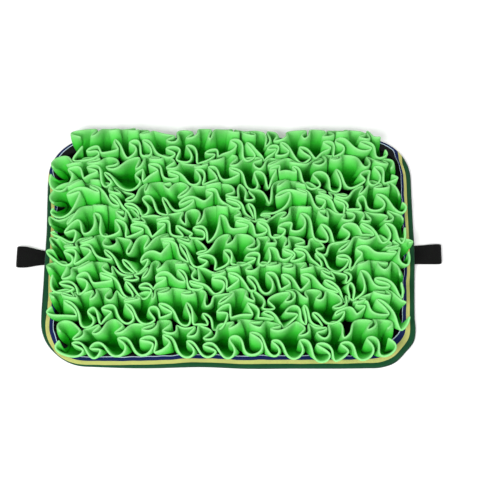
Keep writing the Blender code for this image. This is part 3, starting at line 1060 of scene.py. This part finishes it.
def make_dye_group():
    """Colour * (1 + strength * (broad noise + fine noise - 1))."""
    tree, given, result = new_group(
        "uneven_dye", {"Color": "Color", "Place": "Vector", "Broad": "Float", "Fine": "Float",
                       "Strength": "Float"}, {"Color": "Color"})
    noises = [node_in(tree, "ShaderNodeTexNoise", {
        "Vector": given["Place"], "Scale": given[scale], "Detail": 2.0}).outputs["Fac"]
        for scale in ("Broad", "Fine")]
    centred = math_node(tree, "SUBTRACT", math_node(tree, "ADD", *noises), 1.0)
    factor = math_node(tree, "ADD", math_node(tree, "MULTIPLY", centred, given["Strength"]), 1.0)
    scaled = node_in(tree, "ShaderNodeVectorMath", {0: given["Color"], "Scale": factor},
                     operation="SCALE")
    feed(tree, result["Color"], scaled.outputs[0])
    return tree


dye_group = make_dye_group()
print("nodes in the uneven dye:", len(dye_group.nodes))

# %% [markdown]
# ## Fleece
# Fleece is a knitted cloth whose face is brushed into a short dense pile. It has no gloss. Its
# colour is painted by the rise: a painted highlight makes it lightest at the cut rims, and painted
# shade makes it ever darker towards the seam, where little light gets in. The relief is fuzz, plus
# faint ribs of the knit that run up the cloth.

# %% Cloth helpers


def cloth_material(name, roughness, sheen=0.0, sheen_roughness=0.5, sheen_tint=(1, 1, 1),
                   gloss=0.12):
    """A new material with a cloth's shader; returns it, its tree, the shader and the flat UV."""
    material = bpy.data.materials.new(name)
    material.use_nodes = True
    tree = material.node_tree
    shader = tree.nodes["Principled BSDF"]
    for socket, value in (("Roughness", roughness), ("Sheen Weight", sheen),
                          ("Sheen Roughness", sheen_roughness),
                          ("Sheen Tint", (*sheen_tint, 1.0)), ("Specular IOR Level", gloss)):
        shader.inputs[socket].default_value = value
    flat = node_in(tree, "ShaderNodeUVMap", uv_map="cloth").outputs["UV"]
    return material, tree, shader, flat


def ramp(tree, factor, stops, interpolation="LINEAR"):
    """A colour ramp from (position, colour) stops."""
    node = node_in(tree, "ShaderNodeValToRGB", {0: factor})
    elements = node.color_ramp.elements
    node.color_ramp.interpolation = interpolation
    while len(elements) < len(stops):
        elements.new(0.5)
    for element, (position, colour) in zip(elements, stops):
        element.position = position
        element.color = (*colour, 1.0)
    return node.outputs["Color"]


def dye(tree, shader, colour, place, broad, fine, strength):
    """Gives the shader an unevenly dyed colour."""
    dyed = node_in(tree, "ShaderNodeGroup", {
        "Color": colour, "Place": place, "Broad": broad, "Fine": fine, "Strength": strength},
        node_tree=dye_group)
    feed(tree, shader.inputs["Base Color"], dyed.outputs["Color"])


def weave(tree, flat, along, across):
    """The height of a weave with these thread spacings."""
    return node_in(tree, "ShaderNodeGroup", {
        "Place": flat, "Along Spacing": along, "Across Spacing": across},
        node_tree=weave_group).outputs["Height"]


def bump(tree, shader, height, distance, strength):
    """Bends the shader's normal by a height, on top of an earlier bump if there is one."""
    normal = shader.inputs["Normal"]
    earlier = normal.links[0].from_socket if normal.is_linked else None
    bent = node_in(tree, "ShaderNodeBump", {
        "Height": height, "Distance": distance, "Strength": strength, "Normal": earlier})
    feed(tree, normal, bent.outputs["Normal"])


# %% Fleece finish
# Painted shade and painted highlight: the fleece colour darkens towards the seam and lightens at
# the cut rim.
FLEECE_PAINTED_LIGHT_BY_RISE = [
    # rise, colour with painted shade towards the seam and a painted highlight at the rim
    (0.00, (0.001, 0.090, 0.001)),
    (0.25, (0.002, 0.220, 0.002)),
    (0.55, (0.038, 0.480, 0.034)),
    (0.80, (0.120, 0.580, 0.108)),
    (1.00, (0.230, 0.625, 0.212)),
]


def fleece_finish():
    """Its colour is read from the rise: painted shade makes it darker towards the seam and a
    painted highlight lighter at the rim, and fuzz lies on top of the knit.
    """
    material, tree, shader, flat = cloth_material(
        "green_fleece_pile", 0.95, 0.03, 0.5, (0.6, 1.0, 0.6), gloss=0.04)
    rise = node_in(tree, "ShaderNodeAttribute", attribute_name="rise").outputs["Fac"]
    solid = node_in(tree, "ShaderNodeTexCoord").outputs["Object"]
    # the ramp paints shade towards the seam and a highlight at the rim; the uneven dye on top is
    # the fleece's own tone
    dye(tree, shader, ramp(tree, rise, FLEECE_PAINTED_LIGHT_BY_RISE), solid, 55.0, 1400.0, 0.22)
    fuzz = node_in(tree, "ShaderNodeTexNoise", {"Vector": solid, "Scale": 1500.0, "Detail": 3.0})
    bump(tree, shader, weave(tree, flat, along=0.0011, across=0.0016), 0.0002, 0.35)
    bump(tree, shader, fuzz.outputs["Fac"], 0.0005, 0.5)
    return material


fleece = fleece_finish()
for strip in fleece_strips:
    strip.data.materials.append(fleece)
print("fleece finish on", len(fleece_strips), "strips")

# %% [markdown]
# ## Ribbon, base cloth and webbing
# The ribbon is woven in stripes: dark green over the fold, then pale yellow, navy and a thin
# white line, and black at both edges. They are read from the distance across the ribbon, which
# the UV map keeps, so they roll under with it. Along the fold's middle the green is painted darker
# still, as painted shade where the ribbon turns down. The base is a plain black weave with a line
# of stitches under each strip, and the webbing is a coarser one.

# %% Stripes
STRIPES = [
    # distance from the fold's middle in metres, colour from there on
    # painted shade: this first band is the green made darker over the fold's middle, where the
    # ribbon turns down
    (0.0, (0.002, 0.030, 0.013)),
    (0.0018, (0.004, 0.054, 0.019)),
    (0.0070, (0.480, 0.470, 0.150)),
    (0.0117, (0.003, 0.011, 0.078)),
    (0.0163, (0.500, 0.620, 0.730)),
    (0.0172, (0.003, 0.004, 0.004)),
]
STRIPE_SPAN = 0.032
STRIPE_SWAY = 0.0016


def ribbon_finish():
    """The distance from the fold, swayed by a slow noise, picks a stripe."""
    material, tree, shader, flat = cloth_material("striped_ribbon_weave", 0.62, 0.15, 0.4)
    solid = node_in(tree, "ShaderNodeTexCoord").outputs["Object"]
    place = node_in(tree, "ShaderNodeSeparateXYZ", {0: flat}).outputs
    slow = node_in(tree, "ShaderNodeTexNoise", {"Vector": solid, "Scale": 28.0, "Detail": 1.0})
    sway = math_node(tree, "MULTIPLY", math_node(tree, "SUBTRACT", slow.outputs["Fac"], 0.5),
                     STRIPE_SWAY)
    across = math_node(tree, "ADD", place["Y"], sway)
    from_fold = math_node(tree, "DIVIDE", math_node(tree, "ABSOLUTE", across), STRIPE_SPAN)
    stripes = ramp(tree, from_fold, [(at / STRIPE_SPAN, colour) for at, colour in STRIPES],
                   "CONSTANT")
    dye(tree, shader, stripes, solid, 60.0, 2500.0, 0.25)
    bump(tree, shader, weave(tree, flat, along=0.0007, across=0.0022), 0.00025, 0.7)
    return material


edge_binding.data.materials.append(ribbon_finish())
print("stripes on the ribbon:", len(STRIPES))

# %% Base cloth and webbing finishes
STITCH_LENGTH = 0.0032
STITCH_SHARE = 0.72
THREAD_HALF = 0.0004


def base_finish():
    """A thread is drawn where a place is near a seam line and within a stitch's share."""
    material, tree, shader, flat = cloth_material("black_base_weave", 0.9)
    place = node_in(tree, "ShaderNodeSeparateXYZ", {0: flat}).outputs
    row = math_node(tree, "DIVIDE", math_node(tree, "SUBTRACT", place["Y"], FIRST_SEAM_Y),
                    SEAM_PITCH)
    off_row = math_node(tree, "SUBTRACT", row, math_node(tree, "ROUND", row))
    off_seam = math_node(tree, "MULTIPLY", math_node(tree, "ABSOLUTE", off_row), SEAM_PITCH)
    on_seam = math_node(tree, "LESS_THAN", off_seam, THREAD_HALF)
    stitch = math_node(tree, "LESS_THAN", math_node(
        tree, "FRACT", math_node(tree, "DIVIDE", place["X"], STITCH_LENGTH)), STITCH_SHARE)
    thread = math_node(tree, "MULTIPLY", on_seam, stitch)
    colour = node_in(tree, "ShaderNodeMix", {
        0: thread, 6: (0.0012, 0.0016, 0.0012, 1.0), 7: (0.012, 0.014, 0.012, 1.0),
    }, data_type="RGBA").outputs[2]
    dye(tree, shader, colour, flat, 30.0, 1200.0, 0.5)
    height = math_node(tree, "ADD", weave(tree, flat, along=0.0008, across=0.0008), thread)
    bump(tree, shader, height, 0.0003, 0.7)
    return material


def webbing_finish():
    """A coarse black weave."""
    material, tree, shader, flat = cloth_material("black_webbing_weave", 0.8, 0.03, 0.4)
    dye(tree, shader, (0.003, 0.003, 0.003, 1.0), flat, 80.0, 1500.0, 0.4)
    bump(tree, shader, weave(tree, flat, along=0.0013, across=0.0022), 0.0004, 0.9)
    return material


base_cloth.data.materials.append(base_finish())
webbing = webbing_finish()
for sheet, _ in loops.values():
    sheet.data.materials.append(webbing)
print("webbing finish on", len(loops), "loops")

# %% Table top finish
pale, _, shader, _ = cloth_material("pale_table", 0.9, gloss=0.0)
shader.inputs["Base Color"].default_value = (0.92, 0.92, 0.92, 1.0)
table_top.data.materials.append(pale)
print("table top finish:", pale.name)

# %% [markdown]
# ## Putting each piece on the body
# Each sheet rides on the mat's one body and stands for its plain solid, which is hidden.

# %% Declarations


def declare(piece, node):
    """Puts a piece on the mat's one body and hides the plain solid it stands for."""
    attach(piece, "root")
    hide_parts(node)


declare(base_cloth, "base_panel")
declare(edge_binding, "edge_binding")
for (name, _, _, _, end_width), (sheet, length) in zip(LOOPS, loops.values()):
    declare(sheet, name)
for row, (strip, length) in enumerate(zip(fleece_strips, strip_lengths)):
    declare(strip, f"ruffle_row_{row + 1}")
print("declared sheets:", 2 + len(loops) + len(fleece_strips))
